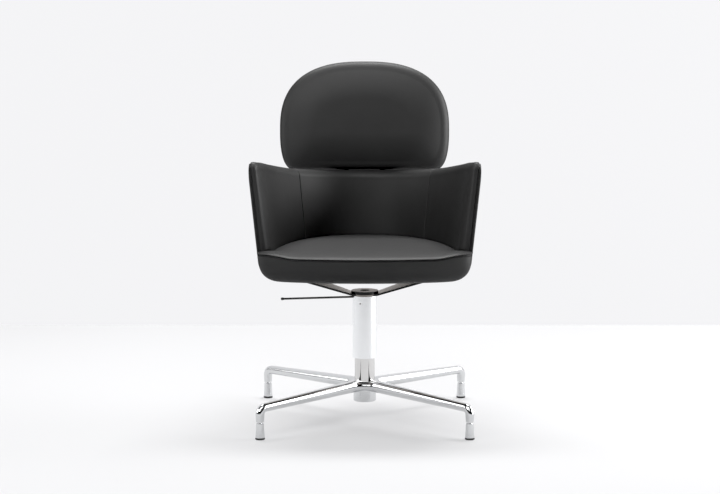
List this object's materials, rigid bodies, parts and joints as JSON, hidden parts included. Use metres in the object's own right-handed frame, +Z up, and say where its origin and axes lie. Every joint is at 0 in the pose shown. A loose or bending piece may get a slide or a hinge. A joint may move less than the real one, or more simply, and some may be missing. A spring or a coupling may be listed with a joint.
{
  "type": "upholstered swivel armchair",
  "caption": "Upholstered swivel armchair with a bucket seat, separate rounded upper back pad, gas-lift column with height lever, and a polished star base on levelling feet.",
  "frame": {"origin": "on the floor under the column's axis", "axes": "+Z up, the sitter faces -Y, +X to the sitter's left, which is the right of the picture"},
  "size_m": [0.5624, 0.5735, 0.8713],
  "materials": {
    "polished_aluminium": "die-cast, polished",
    "chrome_tube": "chromed steel, polished",
    "black_rubber": "matt black rubber",
    "zinc_steel": "zinc-plated fastener steel",
    "ground_steel": "ground steel",
    "black_steel": "black powder coat",
    "black_plastic": "moulded black plastic",
    "birch_plywood": "bare birch plywood",
    "black_leather": "smooth black leather over a moulded shell",
    "leather_padding": "foam and wadding under smooth black leather"
  },
  "bodies": {
    "base": {"base_star": "polished_aluminium", "column_tube": "chrome_tube", "guide_bush": "black_plastic", "bearing_lower_race": "ground_steel", "bearing_balls": "ground_steel"},
    "spindle": {"bearing_upper_race": "ground_steel", "piston_rod": "ground_steel", "buffer": "black_rubber", "piston": "ground_steel", "rod_clip": "zinc_steel"},
    "seat": {"gas_cylinder": "black_steel", "cylinder_gland": "black_plastic", "cover_sleeve": "chrome_tube", "sleeve_bush": "black_plastic", "release_head": "ground_steel", "lever_pivot_pin": "ground_steel", "sleeve_screw": "zinc_steel", "wing_plate": "chrome_tube", "wing_screws": "zinc_steel", "board_inserts": "zinc_steel", "mounting_board": "birch_plywood", "seat_pan": "birch_plywood", "shell_bolts": "zinc_steel", "outer_shell": "black_leather", "lining_left": "leather_padding", "lining_back": "leather_padding", "lining_right": "leather_padding", "seat_cushion": "leather_padding", "pad_front": "leather_padding", "pad_board": "birch_plywood", "pad_rear": "leather_padding", "back_upright": "black_steel", "upright_screws": "zinc_steel"},
    "lever": {"lever_block": "black_steel", "lever_rod": "black_steel", "lever_tip": "black_plastic"},
    "valve": {"valve_button": "black_plastic"},
    "leveller_front_left": {"glide_front_left": "black_rubber", "foot_front_left": "polished_aluminium", "stud_front_left": "zinc_steel"},
    "leveller_front_right": {"glide_front_right": "black_rubber", "foot_front_right": "polished_aluminium", "stud_front_right": "zinc_steel"},
    "leveller_back_left": {"glide_back_left": "black_rubber", "foot_back_left": "polished_aluminium", "stud_back_left": "zinc_steel"},
    "leveller_back_right": {"glide_back_right": "black_rubber", "foot_back_right": "polished_aluminium", "stud_back_right": "zinc_steel"}
  },
  "joints": [
    {"name": "swivel", "type": "hinge", "parent": "base", "child": "spindle", "pos_m": [0, 0, 0.1], "axis": [0, 0, 1], "continuous": true},
    {"name": "lift", "type": "slide", "parent": "spindle", "child": "seat", "axis": [0, 0, 1], "range_m": [-0.04, 0.06]},
    {"name": "lever_pull", "type": "hinge", "parent": "seat", "child": "lever", "pos_m": [-0.02, 0, 0.305], "axis": [0, 1, 0], "range_deg": [0, 8], "stiffness_Nm_per_rad": 0.6, "springref_deg": -5.73},
    {"name": "valve_press", "type": "slide", "parent": "seat", "child": "valve", "axis": [0, 0, -1], "range_m": [0, 0.003]},
    {"name": "level_front_left", "type": "slide", "parent": "base", "child": "leveller_front_left", "axis": [0, 0, -1], "range_m": [0, 0.008]},
    {"name": "level_front_right", "type": "slide", "parent": "base", "child": "leveller_front_right", "axis": [0, 0, -1], "range_m": [0, 0.008]},
    {"name": "level_back_left", "type": "slide", "parent": "base", "child": "leveller_back_left", "axis": [0, 0, -1], "range_m": [0, 0.008]},
    {"name": "level_back_right", "type": "slide", "parent": "base", "child": "leveller_back_right", "axis": [0, 0, -1], "range_m": [0, 0.008]}
  ],
  "couplings": [
    {"joint": "valve_press", "follows": "lever_pull", "m_per_rad": 0.02}
  ]
}
